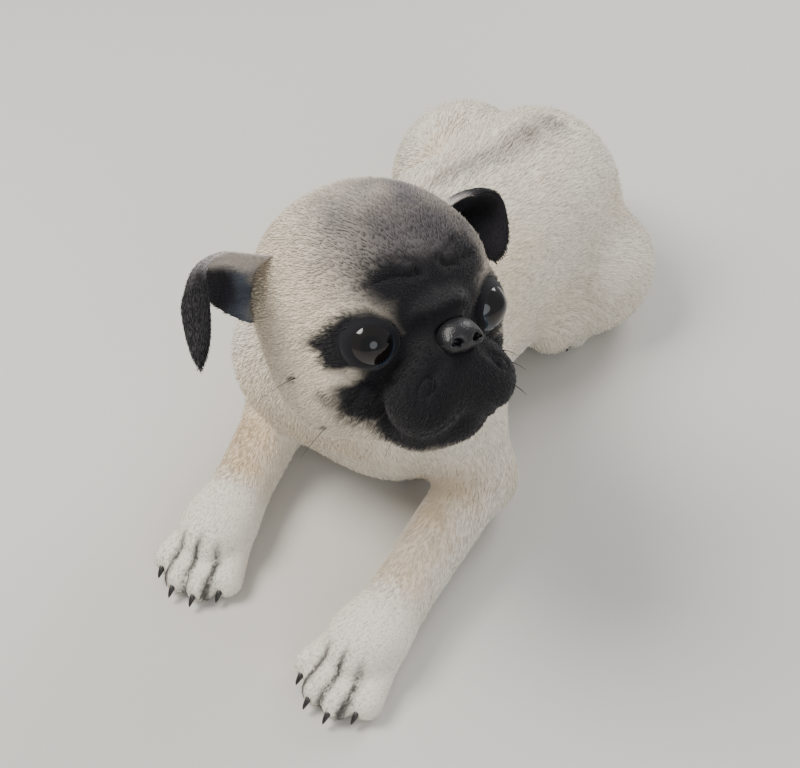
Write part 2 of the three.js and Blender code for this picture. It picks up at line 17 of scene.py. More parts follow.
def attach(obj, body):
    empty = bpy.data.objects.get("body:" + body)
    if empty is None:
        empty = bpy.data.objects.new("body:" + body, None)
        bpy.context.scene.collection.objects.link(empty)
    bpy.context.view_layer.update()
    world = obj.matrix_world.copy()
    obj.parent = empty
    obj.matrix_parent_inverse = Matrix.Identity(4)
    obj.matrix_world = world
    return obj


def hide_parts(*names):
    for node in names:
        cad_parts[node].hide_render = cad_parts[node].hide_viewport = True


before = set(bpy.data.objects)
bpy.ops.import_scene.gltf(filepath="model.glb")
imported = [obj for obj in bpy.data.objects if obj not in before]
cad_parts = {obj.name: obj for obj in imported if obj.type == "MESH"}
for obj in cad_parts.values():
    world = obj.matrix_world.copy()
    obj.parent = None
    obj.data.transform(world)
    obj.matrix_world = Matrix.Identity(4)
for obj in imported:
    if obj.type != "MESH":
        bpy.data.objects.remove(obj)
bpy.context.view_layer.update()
print("nodes in the frame:", len(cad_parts))

# %% [markdown]
# ## The shape of the body
# Flesh under a short coat has no hard edges, so it is written as a field: a
# function that says how far a point is from the skin. Simple round forms blend
# where muscle runs into muscle. Sculpting could reach the same shape, but a field
# stays exact when a size changes. Sizes are written in millimetres.

# %% Fields of round forms
MM = 0.001


def vec(values):
    return np.array(values, float)


def blend(a, b, width):
    overlap = np.maximum(width - np.abs(a - b), 0) / width
    return np.minimum(a, b) - overlap * overlap * width * 0.25


def carve(a, b, width):
    return -blend(-a, b, width)


def in_radii(points, centre, radii):
    return np.linalg.norm((points - vec(centre)) / vec(radii), axis=1)


def ellipsoid(points, centre, radii):
    whole = in_radii(points, centre, radii)
    slope = in_radii(points, centre, vec(radii) ** 2)
    return whole * (whole - 1) / np.maximum(slope, 1e-9)


def limb(points, start, end, start_radius, end_radius):
    start, end = vec(start), vec(end)
    axis = end - start
    t = np.clip((points - start) @ axis / (axis @ axis), 0, 1)
    nearest = start + t[:, None] * axis
    return np.linalg.norm(points - nearest, axis=1) - start_radius - t * (end_radius - start_radius)


def joined(width, fields):
    total = fields[0]
    for field in fields[1:]:
        total = blend(total, field, width)
    return total


# %% [markdown]
# ## Where the head and the paws stand
# The head and each paw have a frame of their own. The halves of the head are
# written once and mirrored.

# %% Places of the head and the paws
HEAD_AT = np.array([20.5, -43.1, 129.8])
HEAD_YAW, HEAD_PITCH, HEAD_ROLL = 69.9, -30.2, 12.0


def turn_about(axis, degrees):
    return np.array(Matrix.Rotation(math.radians(degrees), 3, axis))


HEAD_TURN = turn_about("Z", HEAD_YAW) @ turn_about("X", HEAD_PITCH) @ turn_about("Y", HEAD_ROLL)


def to_head(points):
    return (points - HEAD_AT) @ HEAD_TURN


def from_head(points):
    return np.asarray(points, float) @ HEAD_TURN.T + HEAD_AT


SIDES = {"left": 1, "right": -1}
FORELEGS = {
    "left": dict(shoulder=(32, -2, 46), elbow=(45, -7, 18), wrist=(45, -84, 14), heading=-6),
    "right": dict(shoulder=(-38, -10, 46), elbow=(-48, -16, 19), wrist=(-39, -68, 14), heading=6),
}
HINDLEGS = {
    "left": dict(haunch=(36, 124, 29), haunch_radii=(30, 36, 30), knee=(33, 92, 24),
                 knee_radii=(15, 20, 20), hock=(36, 144, 10.5), foot=(27, 130, 0), heading=2),
    "right": dict(haunch=(-43, 140, 41), haunch_radii=(35, 38, 41), knee=(-56, 92, 27),
                  knee_radii=(18, 22, 23), hock=(-60, 148, 10.5), foot=(-61, 120, 0), heading=-6),
}
TAIL_PATH = [(3, 160, 52), (-2, 176, 52), (-13, 183, 44), (-25, 180, 34), (-31, 171, 28)]
TAIL_RADII = (9.5, 4)
PAW_KINDS = {
    "front": dict(size=0.94, palm=(16.5, 20, 14), reach=(-33, -40, -40.5, -34)),
    "hind": dict(size=0.86, palm=(14, 20, 12.5), reach=(-34, -40, -40, -34)),
}
TOE_OFFSETS = (-14.5, -5.2, 5.2, 14.5)


PAWS = []
for side in SIDES:
    fore, hind = FORELEGS[side], HINDLEGS[side]
    below = (*fore["wrist"][:2], 0)
    PAWS.append(dict(name=f"front_{side}", at=below, heading=fore["heading"], **PAW_KINDS["front"]))
    PAWS.append(dict(name=f"hind_{side}", at=hind["foot"], heading=hind["heading"], **PAW_KINDS["hind"]))


def to_paw(points, paw):
    return (points - vec(paw["at"])) @ turn_about("Z", paw["heading"])


def from_paw(points, paw):
    return np.asarray(points, float) @ turn_about("Z", paw["heading"]).T + vec(paw["at"])


def toe_line(paw, n):
    size = paw["size"]
    x = TOE_OFFSETS[n] * size
    return (x * 0.72, -18 * size, 10 * size), (x, paw["reach"][n] * size, 6.4 * size)


print("paws:", [paw["name"] for paw in PAWS])

# %% [markdown]
# ## The parts of the body
# Each part is a function that gives the distance of points to that part. The body
# is the blend of them all. Later the same functions tell the coat where it grows.

# %% Trunk, neck, legs and tail


def trunk_field(points):
    return joined(18, [
        ellipsoid(points, (-3, -5, 42), (41, 32, 43.2)),
        ellipsoid(points, (-9, 26, 54), (46, 44, 50)),
        ellipsoid(points, (-7, 70, 53), (47, 48, 52)),
        ellipsoid(points, (0, 114, 52), (44, 44, 51)),
        ellipsoid(points, (1, 140, 49), (38, 28, 44)),
    ])


def neck_field(points):
    return joined(16, [
        limb(points, (-7, 4, 66), (2, -28, 106), 40, 35),
        ellipsoid(points, (-4, -20, 66), (40, 27, 30)),
        ellipsoid(points, (-32, -26, 66), (27, 24, 36)),
    ])


def foreleg_field(points, side):
    leg = FORELEGS[side]
    return blend(limb(points, leg["shoulder"], leg["elbow"], 21, 15),
                 limb(points, leg["elbow"], leg["wrist"], 15.5, 13.5), 10)


def hindleg_field(points, side):
    leg = HINDLEGS[side]
    heel = (leg["foot"][0], leg["foot"][1], 9)
    return joined(9, [
        ellipsoid(points, leg["haunch"], leg["haunch_radii"]),
        ellipsoid(points, leg["knee"], leg["knee_radii"]),
        limb(points, leg["hock"], heel, 11, 9.5),
    ])


def tail_field(points):
    lengths = len(TAIL_PATH) - 1
    radii = np.linspace(*TAIL_RADII, lengths + 1)
    return joined(3, [limb(points, TAIL_PATH[n], TAIL_PATH[n + 1], radii[n], radii[n + 1])
                      for n in range(lengths)])


def paw_field(points, paw):
    local, size = to_paw(points, paw), paw["size"]
    palm = ellipsoid(local, (0, -13 * size, paw["palm"][2] - 1), paw["palm"])
    toes = [limb(local, *toe_line(paw, n), 7.2 * size, 7.4 * size) for n in range(4)]
    return joined(2.2, [palm] + toes)


# %% [markdown]
# ## The head
# A pug's head is a ball with a short square muzzle pushed into it: full cheeks,
# round forehead, large eyes set wide apart, and lips that hang over the jaw.

# %% Head
EYE_RADIUS, EYE_OUTWARD = 10.0, 28
EYE_CENTRE = (22.5, -25, 0.5)
NOSE_CENTRE, NOSE_RADII = (0, -43.5, -2), (7.4, 6.2, 5.9)
MOUTH = [(-27, -22, -27), (-22, -33, -32), (-14, -42, -33), (-7, -46, -29), (0, -48, -26)]


def mirrored(points, side):
    return points * [side, 1, 1]


def halves(points):
    return [mirrored(points, side) for side in (1, -1)]


def head_field(points):
    local = to_head(points)
    both = halves(local)
    skull = joined(14, [ellipsoid(local, (0, 8, 9), (43, 43, 40)),
                        ellipsoid(local, (0, -14, 15), (29, 18, 19))]
                   + [ellipsoid(half, (25, -1, -14), (18, 24, 20)) for half in both])
    orbits = joined(6, [skull] + [ellipsoid(half, (22, -19, 1), (14.5, 12, 13.5)) for half in both])
    muzzle = joined(6, [ellipsoid(local, (0, -33, -13), (19, 14, 14))]
                    + [ellipsoid(half, (11.5, -35, -22), (13.5, 11.5, 12.5)) for half in both]
                    + [ellipsoid(local, (0, -37, 6), (11, 7.5, 6))])
    jaw = joined(8, [ellipsoid(local, (0, -27, -35), (16, 11.5, 8.5))]
                 + [limb(half, (22, 2, -24), (9, -22, -33), 15, 9) for half in both])
    return joined(5, [orbits, muzzle, jaw])


def body_field(points):
    field = blend(trunk_field(points), neck_field(points), 22)
    field = blend(field, head_field(points), 12)
    for side in SIDES:
        field = blend(field, foreleg_field(points, side), 10)
    for side in SIDES:
        field = blend(field, hindleg_field(points, side), 8)
    for paw in PAWS:
        field = blend(field, paw_field(points, paw), 4)
    return blend(field, tail_field(points), 5)


# %% [markdown]
# ## Lids, lips and folds
# The solids of the frame have the lids and the mouth in a coarse form. Here they
# are finer, and the folds of the loose skin come with them. A lid is a soft ring
# round the eyeball, and the rest are shallow furrows pressed in along a line.

# %% Fine forms of the face
LID_WIDE, LID_HIGH, LID_THICK = 8.1, 6.2, 1.45


def to_eye(half):
    return (half - EYE_CENTRE) @ turn_about("Z", EYE_OUTWARD)


def lid_ring(half):
    local = to_eye(half)
    around = np.hypot(local[:, 0], local[:, 2] * LID_WIDE / LID_HIGH) - LID_WIDE
    return np.hypot(around, (local[:, 1] + 5.2) * 0.9) - LID_THICK


def furrow(points, path, radius):
    return joined(0.8, [limb(points, path[n], path[n + 1], radius, radius) for n in range(len(path) - 1)])


FOLDS = {
    "cheek": ([(10, -40, 4), (17, -37, -5), (24, -28, -13), (28, -20, -22)], 2.1),
    "nose_roll": ([(0, -45.5, 6.5), (7, -43, 4.5), (11, -39, 2)], 1.8),
    "muzzle": ([(9, -46, -8), (15, -44, -15), (19, -38, -23)], 1.1),
    "stop": ([(0, -40, 16), (3, -38, 22)], 1.8),
    "brow": ([(6, -35, 21), (14, -31, 23), (22, -26, 20)], 1.7),
    "under_eye": ([(13, -35, -9), (21, -33, -12), (30, -25, -9)], 1.5),
}


def detailed_field(points):
    field = body_field(points)
    local = to_head(points)
    face = np.where(np.linalg.norm(local - [0, -25, -6], axis=1) < 60)[0]
    part, value = local[face], field[face]
    both = halves(part)
    for half in both:
        value = blend(value, lid_ring(half), 3.5)
        for path, radius in FOLDS.values():
            value = carve(value, furrow(half, path, radius), 3)
    for half in reversed(both):
        value = carve(value, furrow(half, MOUTH, 1.1), 2.0)
    value = carve(value, furrow(part, [(0, -50, -7), (0, -49.5, -14), (0, -49, -26)], 0.8), 1.6)
    for half in both:
        value = carve(value, np.linalg.norm(to_eye(half), axis=1) - EYE_RADIUS - 0.15, 0.8)
    value = carve(value, ellipsoid(part, NOSE_CENTRE, NOSE_RADII), 0.8)
    field[face] = value
    return field


# %% [markdown]
# ## How deep the coat is
# The skin lies inside the body's outline by the depth of the coat, thin on the
# face and the paws. The depth fades from one to the other, so no step shows.

# %% Coat depth


def fade(value, low, high):
    t = np.clip((value - low) / (high - low), 0, 1)
    return t * t * (3 - 2 * t)


def near(field, reach):
    return 1 - fade(field, 0, reach)


def face_share(points):
    return 1 - fade(in_radii(to_head(points), (0, -36, -8), (38, 30, 34)), 0.7, 1.25)


def paw_share(points):
    share = np.zeros(len(points))
    for paw in PAWS:
        share = np.maximum(share, near(paw_field(points, paw), 10))
    return share


def coat_depth(points):
    thin = np.maximum(face_share(points), 0.75 * paw_share(points))
    return 1.5 - 1.2 * thin


def plain_field(points):
    return body_field(points) + coat_depth(points)


def skin_field(points):
    return detailed_field(points) + coat_depth(points)


# %% [markdown]
# ## A net over the field
# In a grid of cells, each cell that the surface crosses gets one point, and
# neighbouring points are joined by four-sided faces. That gives an even mesh
# without seams. The face is then made four times as fine, and every point is
# pulled onto the surface.

# %% Surface net
SKIN_STEP = 2.3


def settle(points, field, pulls=4, reach=0.6):
    delta = 0.05
    for _ in range(pulls):
        value = field(points)
        slope = np.stack([(field(points + delta * axis) - value) / delta for axis in np.eye(3)], axis=1)
        size = np.maximum((slope ** 2).sum(axis=1), 0.2)
        points = points - slope * np.clip(value / size, -reach, reach)[:, None]
    return points


def grid_values(field, low, high, step):
    axes = [np.arange(low[n], high[n] + step, step) for n in range(3)]
    values = np.empty([len(axis) for axis in axes])
    for i, x in enumerate(axes[0]):
        y, z = np.meshgrid(axes[1], axes[2], indexing="ij")
        points = np.stack([np.full(y.size, x), y.ravel(), z.ravel()], axis=1)
        values[i] = field(points).reshape(y.shape)
    return axes, values


def surface_net(field, low, high, step):
    axes, values = grid_values(field, low, high, step)
    inside = values < 0
    shape = np.array(values.shape) - 1
    total, crossings = np.zeros((*shape, 3)), np.zeros(shape)
    window = lambda corner: values[tuple(slice(corner[n], corner[n] + shape[n]) for n in range(3))]
    for a in np.ndindex(2, 2, 2):
        for axis in range(3):
            if a[axis]:
                continue
            va, vb = window(a), window([a[n] + (n == axis) for n in range(3)])
            crossed = (va < 0) != (vb < 0)
            t = np.where(crossed, va / np.where(va == vb, 1, va - vb), 0)
            for n in range(3):
                total[..., n] += np.where(crossed, a[n] + (t if n == axis else 0), 0)
            crossings += crossed
    used = crossings > 0
    numbers = np.full(shape, -1)
    numbers[used] = np.arange(used.sum())
    cells = np.argwhere(used)
    points = (cells + total[used] / crossings[used][:, None]) * step + np.array([a[0] for a in axes])
    return points, net_quads(inside, numbers)


def net_quads(inside, numbers):
    quads = []
    for axis in range(3):
        u, v = (axis + 1) % 3, (axis + 2) % 3
        first = np.take(inside, range(inside.shape[axis] - 1), axis)
        second = np.take(inside, range(1, inside.shape[axis]), axis)
        at = np.argwhere(first != second)
        low_enough = (at[:, u] < numbers.shape[u]) & (at[:, v] < numbers.shape[v])
        at = at[(at[:, u] > 0) & (at[:, v] > 0) & low_enough]
        ring = []
        for du, dv in ((1, 1), (0, 1), (0, 0), (1, 0)):
            cell = at.copy()
            cell[:, u] -= du
            cell[:, v] -= dv
            ring.append(numbers[tuple(cell.T)])
        ring = np.stack(ring, axis=1)
        outwards = first[tuple(at.T)]
        quads.append(np.where(outwards[:, None], ring, ring[:, ::-1]))
    return np.concatenate(quads)


def place_object(name, data):
    piece = bpy.data.objects.new(name, data)
    bpy.context.scene.collection.objects.link(piece)
    return piece


def mesh_object(name, points, faces):
    mesh = bpy.data.meshes.new(name)
    mesh.from_pydata((np.asarray(points) * MM).tolist(), [], np.asarray(faces).tolist())
    mesh.update()
    return place_object(name, mesh)


def smooth(piece):
    piece.data.polygons.foreach_set("use_smooth", [True] * len(piece.data.polygons))


def points_of(piece):
    flat = np.empty(len(piece.data.vertices) * 3)
    piece.data.vertices.foreach_get("co", flat)
    return flat.reshape(-1, 3) / MM


def move_points(piece, points):
    piece.data.vertices.foreach_set("co", (points * MM).ravel())
    piece.data.update()


# %% Lay the skin
BODY_LOW, BODY_HIGH = (-90, -142, -6), (82, 200, 186)
FLOOR_CLEAR = 0.05


def refine(piece, share):
    work = bmesh.new()
    work.from_mesh(piece.data)
    weights = share(points_of(piece))
    edges = [edge for edge in work.edges if min(weights[v.index] for v in edge.verts) > 0]
    bmesh.ops.subdivide_edges(work, edges=edges, cuts=1, use_grid_fill=True)
    work.to_mesh(piece.data)
    work.free()


def near_face(reach):
    return lambda points: in_radii(to_head(points), (0, -34, -8), (42, 26, 38)) < reach


def press_on_floor(points):
    points[..., 2] = np.maximum(points[..., 2], FLOOR_CLEAR)
    return points


def make_skin():
    points, quads = surface_net(plain_field, BODY_LOW, BODY_HIGH, SKIN_STEP)
    piece = mesh_object("skin", settle(points, plain_field, pulls=2), quads)
    refine(piece, near_face(1.15))
    refine(piece, near_face(1.0))
    points = points_of(piece)
    front = near_face(1.3)(points)
    points[front] = settle(points[front], skin_field, pulls=6, reach=0.35)
    move_points(piece, press_on_floor(points))
    smooth(piece)
    return piece


skin = make_skin()
print("skin faces:", len(skin.data.polygons))

# %% [markdown]
# ## Markings
# A fawn pug puppy is cream, almost white, with a black mask, black ears, a smoky
# forehead, a warm tint on the forearms and a faint dark trace along the back. The
# markings are soft shapes, broken up by a slow noise as real hair breaks them up.
# They are a colour on each point, so the skin and the hair over it agree. The
# gaps between the toes also get painted shade, darkened nearly to black.

# %% Colours


def linear(code):
    channels = [int(code[n:n + 2], 16) / 255 for n in (1, 3, 5)]
    return np.array([c / 12.92 if c <= 0.04045 else ((c + 0.055) / 1.055) ** 2.4 for c in channels])


CREAM, PALE, FAWN, TAN = map(linear, ("#f0e3cc", "#f7f0e3", "#e2d1b5", "#d6b483"))
SMOKE, TRACE, BLACK, SLATE = map(linear, ("#6b666c", "#746b66", "#141216", "#5b616b"))
VEIL, LID, WHISKER = map(linear, ("#39353b", "#141318", "#17151a"))
EAR_PALE, EAR_GREY, EAR_DARK, EAR_RIM = map(linear, ("#d8cfc4", "#8a8486", "#1d1b20", "#c3bab1"))
WAVES = 14


def slow_noise(points, size, seed):
    dice = np.random.default_rng(seed)
    waves = dice.normal(size=(WAVES, 3)) * (2.2 / size)
    phases = dice.uniform(0, 2 * math.pi, WAVES)
    return np.sin(points @ waves.T + phases).mean(axis=1) * 1.9


def spot(local, centre, radii, soft=0.25):
    return 1 - fade(in_radii(local, centre, radii), 1 - soft, 1 + soft)


def streak(local, path, radius, soft):
    return 1 - fade(furrow(local, path, radius), -soft, soft)


def each(value, points):
    return np.tile(value, (len(points), 1))


def mix(colours, colour, share):
    share = np.clip(share, 0, 1)[:, None]
    return colours * (1 - share) + colour * share


# %% Marks of the head
# Each patch is a centre, its radii and the softness of its edge, in the head's frame.
MASK_MIDDLE = (((0, -41, -17), (31, 24, 27), 0.16), ((0, -38, 8), (21, 14, 18), 0.3))
MASK_SIDES = (((25.5, -27, -1), (15.5, 15, 13), 0.16), ((14, -32, 18), (11, 11, 8.5), 0.45),
              ((24, -27, -19), (15, 15, 14), 0.3), ((16, -31, -31), (16, 14, 11), 0.25))
PALE_CHEEK = ((35, -21, -10), (8, 9, 2.8), 0.5)
EYE_CORNER = ((32, -25, 1), (40, -14, 3))
JOWL = ((39, -16, -15), (35, -20, -21), (24, -30, -29))
MOLES = ((43, -6, -10), (35, -7, -30))


def mask_share(points, local):
    wobble = 1.3 * slow_noise(points, 7, 21)[:, None]
    ragged = local + wobble
    share = np.max([spot(ragged, *patch) for patch in MASK_MIDDLE], axis=0)
    for half in halves(ragged):
        share = np.max([share] + [spot(half, *patch) for patch in MASK_SIDES], axis=0)
        share = share * (1 - 0.6 * spot(half, *PALE_CHEEK))
        share = np.maximum(share, streak(half, EYE_CORNER, 3.2, 1.8))
        share = np.maximum(share, 0.9 * streak(half, JOWL, 1.8, 2.2))
        for mole in MOLES:
            share = np.maximum(share, 0.8 * spot(half, mole, (2.2, 2.2, 1.4), 0.5))
    return share


def head_marks(points, colours):
    local = to_head(points)
    noise = slow_noise(points, 9, 5)
    own = 1 - fade(head_field(points), 1.5, 6)
    shade = mix(colours, FAWN, 0.45 * own)
    smoke = spot(local, (4, -17, 34), (33, 29, 27), 0.42)
    shade = mix(shade, SMOKE, own * smoke * (0.68 + 0.3 * noise))
    smudge = spot(local, (4, -27, 33), (10, 8, 7), 0.7) + spot(local, (18, -10, 38), (12, 9, 7), 0.7)
    shade = mix(shade, SMOKE, 0.5 * own * smudge)
    veil = spot(local, (1, -31, 25), (30, 21, 22), 0.6)
    shade = mix(shade, VEIL, 0.78 * own * veil)
    return mix(shade, BLACK, own * mask_share(points, local))


# %% Marks of the body, with painted shade between the toes


def paw_marks_and_toe_shade(points, colours):
    shade = colours
    for paw in PAWS:
        local, size, gap = to_paw(points, paw), paw["size"], paw_field(points, paw)
        shade = mix(shade, PALE, near(gap, 9))
        # Painted shade: the gaps between the toes are darkened nearly to black.
        for n in range(3):
            reach = np.clip(-local[:, 1] / size - 18, 0, 22) / 22
            x = (TOE_OFFSETS[n] + TOE_OFFSETS[n + 1]) / 2 * size * (0.72 + 0.28 * reach)
            painted_toe_gap_shade = (1 - fade(np.abs(local[:, 0] - x), 0.5, 1.9)) * fade(reach, 0.25, 0.65)
            shade = mix(shade, BLACK, 0.92 * painted_toe_gap_shade * near(gap, 4))
    return shade


def markings_and_toe_shade(points):
    colours = mix(each(CREAM, points), PALE, 0.55 + 0.5 * slow_noise(points, 26, 3))
    for side in SIDES:
        leg = FORELEGS[side]
        middle = [(leg["elbow"][0], leg["elbow"][1] - 14, 26), (leg["wrist"][0], leg["wrist"][1] + 6, 22)]
        warmth = (0.75 if side == "right" else 0.5) + 0.25 * slow_noise(points, 12, 8)
        colours = mix(colours, TAN, warmth * streak(points, middle, 9, 9))
    back = [(-19, 30, 108), (-17, 62, 108), (-3, 94, 104), (5, 128, 97)]
    colours = mix(colours, TRACE, (0.75 + 0.3 * slow_noise(points, 8, 11)) * streak(points, back, 5, 8))
    colours = mix(colours, TAN, 0.26 * spot(points, (-20, -45, 52), (30, 16, 14), 0.5))
    return np.clip(head_marks(points, paw_marks_and_toe_shade(points, colours)), 0, 1)


def store_colours(piece, colours, name="coat"):
    layer = piece.data.attributes.new(name, "FLOAT_COLOR", "POINT")
    rgba = np.concatenate([colours, np.ones((len(colours), 1))], axis=1)
    layer.data.foreach_set("color", rgba.astype(np.float32).ravel())


def skin_colours(points):
    # Painted shade under the hair: the skin between the tufts is darkened to 0.86 of the coat's colour.
    colours = markings_and_toe_shade(points) * 0.86
    for half in halves(to_head(points)):
        colours = mix(colours, LID, 1 - fade(lid_ring(half), 0.2, 1.6))
    return colours


store_colours(skin, skin_colours(points_of(skin)))
print("skin coloured")

# %% [markdown]
# ## Materials
# Hair is rough, so it gets no mirror shine, only a little sheen where the light
# grazes it. The eyes and the nose are wet, and their gloss makes them look alive.

# %% Material tools


def add_node(tree, kind, links=None, **settings):
    node = tree.nodes.new(kind)
    for key, value in settings.items():
        if hasattr(node, key):
            setattr(node, key, value)
        else:
            node.inputs[key.replace("_", " ")].default_value = value
    for key, socket in (links or {}).items():
        tree.links.new(socket, node.inputs[key])
    return node


def add_grain(tree, shader, kind, output, size_mm, strength, depth_mm, **settings):
    place = add_node(tree, "ShaderNodeTexCoord").outputs["Object"]
    grain = add_node(tree, kind, {"Vector": place}, Scale=1 / (size_mm * MM), **settings)
    bump = add_node(tree, "ShaderNodeBump", {"Height": grain.outputs[output]}, Strength=strength,
                    Distance=depth_mm * MM)
    tree.links.new(bump.outputs["Normal"], shader.inputs["Normal"])


def new_material(name, painted=None, grain=None, **surface):
    material = bpy.data.materials.new(name)
    material.use_nodes = True
    tree = material.node_tree
    shader = tree.nodes["Principled BSDF"]
    for key, value in surface.items():
        shader.inputs[key.replace("_", " ")].default_value = value
    if painted:
        colour = add_node(tree, "ShaderNodeAttribute", attribute_name=painted)
        tree.links.new(colour.outputs["Color"], shader.inputs["Base Color"])
    if grain:
        add_grain(tree, shader, **grain)
    return material


# %% Hair, skin, nose, eye and claw
# Keratin hair, air filled and fine: rough, with a faint sheen at grazing light.
HAIR = new_material("short_puppy_hair", "coat", Roughness=0.72, Sheen_Weight=0.08, Sheen_Roughness=0.5,
                    IOR=1.5, Specular_IOR_Level=0.18)

# The undercoat seen between the hairs: down much finer than a tenth of a
# millimetre, drawn as a 0.6 mm grain so that it shows at this distance.
SKIN = new_material("undercoat", "coat", Roughness=0.8, Sheen_Weight=0.1, IOR=1.5, Specular_IOR_Level=0.2,
                    grain=dict(kind="ShaderNodeTexNoise", output="Fac", size_mm=0.6, strength=0.5,
                               depth_mm=0.5, Detail=3.0))

# Bare pebbled skin, moist: plates 0.7 mm across under a thin wet film.
NOSE = new_material("moist_nose_leather", Roughness=0.46, IOR=1.45, Coat_Weight=0.2, Coat_Roughness=0.3,
                    Base_Color=(*linear("#121115"), 1),
                    grain=dict(kind="ShaderNodeTexVoronoi", output="Distance", size_mm=0.7, strength=0.6,
                               depth_mm=0.25))

# A clear wet cornea over a dark brown iris: nearly mirror smooth, index 1.376.
EYE = new_material("wet_eye", "iris", Roughness=0.1, IOR=1.376, Coat_Weight=0.3, Coat_Roughness=0.02)

# Black horn, worn to a dull shine, with a fine uneven surface.
CLAW = new_material("black_horn_claw", Roughness=0.38, IOR=1.55, Base_Color=(*linear("#1c1817"), 1),
                    grain=dict(kind="ShaderNodeTexNoise", output="Fac", size_mm=0.5, strength=0.3,
                               depth_mm=0.15, Detail=2.0))
skin.data.materials.append(SKIN)
print("materials:", [m.name for m in (HAIR, SKIN, NOSE, EYE, CLAW)])

# %% [markdown]
# ## Ears
# A pug's button ear is a thin cupped flap that stands out from the skull, folds
# over and hangs. It is made as rows of points across the ear from root to tip,
# with both faces closed round the rim.

# %% Ears
EARS = {
    "right": dict(
        path=[(33, 12, 17), (42, 12, 19), (53, 10, 24), (62, 6, 26.5), (67, 3, 22), (69.5, 1, 12),
              (71.5, 0, 1)],
        across=[(-0.3, -0.45, 0.84), (-0.05, -0.5, 0.86), (0.15, -0.65, 0.74), (0.22, -0.85, 0.46),
                (0.05, -0.97, 0.2), (0, -1, 0.1), (0, -1, 0.1)]),
    "left": dict(
        path=[(34, 12, 16), (41, 11, 21), (46, 8, 26), (49.5, 5, 28), (50, 4, 23), (50, 2, 16), (50, -2, 8)],
        across=[(-0.3, -0.45, 0.84), (-0.2, -0.6, 0.77), (-0.15, -0.8, 0.55), (0.05, -0.92, 0.35),
                (0.28, -0.94, 0.15), (0.35, -0.93, 0), (0.35, -0.93, 0)]),
}
EAR_HALF_WIDTH = (13, 14, 15, 14, 12.5, 9.5, 3)
EAR_CUP = (6, 7, 6, 4, 1.5, 0.5, 0)
EAR_THICKNESS, EAR_ROWS, EAR_COLUMNS = 1.9, 44, 27


def smooth_path(path, t):
    path = vec(path)
    if path.ndim == 1:
        path = path[:, None]
    ends = np.concatenate([[2 * path[0] - path[1]], path, [2 * path[-1] - path[-2]]])
    place = np.clip(t * (len(path) - 1), 0, len(path) - 1.0001)
    n = place.astype(int)
    u = (place - n)[:, None]
    a, b, c, d = ends[n], ends[n + 1], ends[n + 2], ends[n + 3]
    square, cube = 2 * a - 5 * b + 4 * c - d, 3 * b - a - 3 * c + d
    return 0.5 * (2 * b + (c - a) * u + square * u ** 2 + cube * u ** 3)


def unit(vectors):
    return vectors / np.maximum(np.linalg.norm(vectors, axis=-1, keepdims=True), 1e-9)


def ear_surface(side):
    shape, out = EARS[side], SIDES[side]
    t = np.linspace(0, 1, EAR_ROWS)
    centre = smooth_path(shape["path"], t)
    over = unit(smooth_path(shape["across"], t))
    behind = unit(np.cross(np.gradient(centre, axis=0), over))
    half, cup = smooth_path(EAR_HALF_WIDTH, t), smooth_path(EAR_CUP, t)
    v = np.linspace(-1, 1, EAR_COLUMNS)[None, :, None]
    tip = np.sqrt(np.clip(1 - np.clip((t - 0.9) / 0.1, 0, 1) ** 2, 0.02, 1))[:, None, None]
    middle = (centre[:, None] + over[:, None] * v * half[:, None] * tip
              - behind[:, None] * cup[:, None] * (1 - v ** 2))
    middle = mirrored(middle, out)
    normal = unit(np.cross(np.gradient(middle, axis=0), np.gradient(middle, axis=1))) * out
    rim = np.sqrt(np.clip(1 - v ** 4, 0, 1)) * tip
    half_thick = normal * (0.15 + rim * EAR_THICKNESS / 2)
    return t, v, middle - half_thick, middle + half_thick


def make_ear(side):
    back, inner = ear_surface(side)[2:]
    count = EAR_ROWS * EAR_COLUMNS
    number = np.arange(count).reshape(EAR_ROWS, EAR_COLUMNS)
    a, b, c, d = number[:-1, :-1], number[1:, :-1], number[1:, 1:], number[:-1, 1:]
    sheet = np.stack([a, b, c, d], axis=-1).reshape(-1, 4)
    rim = np.concatenate([number[:, 0], number[-1, 1:], number[:-1, -1][::-1], number[0, 1:-1][::-1]])
    after = np.roll(rim, -1)
    border = np.stack([rim, rim + count, after + count, after], axis=-1)
    points = from_head(np.concatenate([back.reshape(-1, 3), inner.reshape(-1, 3)]))
    piece = mesh_object(f"ear_skin_{side}", points, np.concatenate([sheet, sheet[:, ::-1] + count, border]))
    work = bmesh.new()
    work.from_mesh(piece.data)
    bmesh.ops.recalc_face_normals(work, faces=work.faces)
    work.to_mesh(piece.data)
    work.free()
    smooth(piece)
    piece.data.materials.append(SKIN)
    store_colours(piece, ear_colours(side, points_of(piece)))
    return piece


def ear_colours(side, points):
    local = mirrored(to_head(points), SIDES[side])
    t, v, back, inner = ear_surface(side)
    grids = [mirrored(face.reshape(-1, 3), SIDES[side]) for face in (back, inner)]
    near_back, near_inner = [nearest(local, grid) for grid in grids]
    is_back = near_back[1] <= near_inner[1]
    index = np.where(is_back, near_back[0], near_inner[0])
    place, wide = np.repeat(t, EAR_COLUMNS)[index], np.tile(v.ravel(), EAR_ROWS)[index]
    noise = 0.05 * slow_noise(points, 5, 31)
    start = 0.52 if side == "right" else 0.3
    outer = mix(each(EAR_PALE, points), EAR_GREY, fade(place + noise, 0.1, start))
    outer = mix(outer, BLACK, fade(place + noise, start - 0.1, start + 0.08))
    cup = mix(each(SLATE, points), EAR_DARK, fade(place + noise, 0.14, 0.32))
    upper = fade(wide + 2 * noise, 0.0, 0.5) * (1 - fade(place + noise, start - 0.14, start + 0.06))
    cup = mix(cup, EAR_RIM, upper)
    colours = np.where(is_back[:, None], outer, cup)
    return mix(colours, FAWN, 0.8 * (1 - fade(place + noise, 0.03, 0.17)))


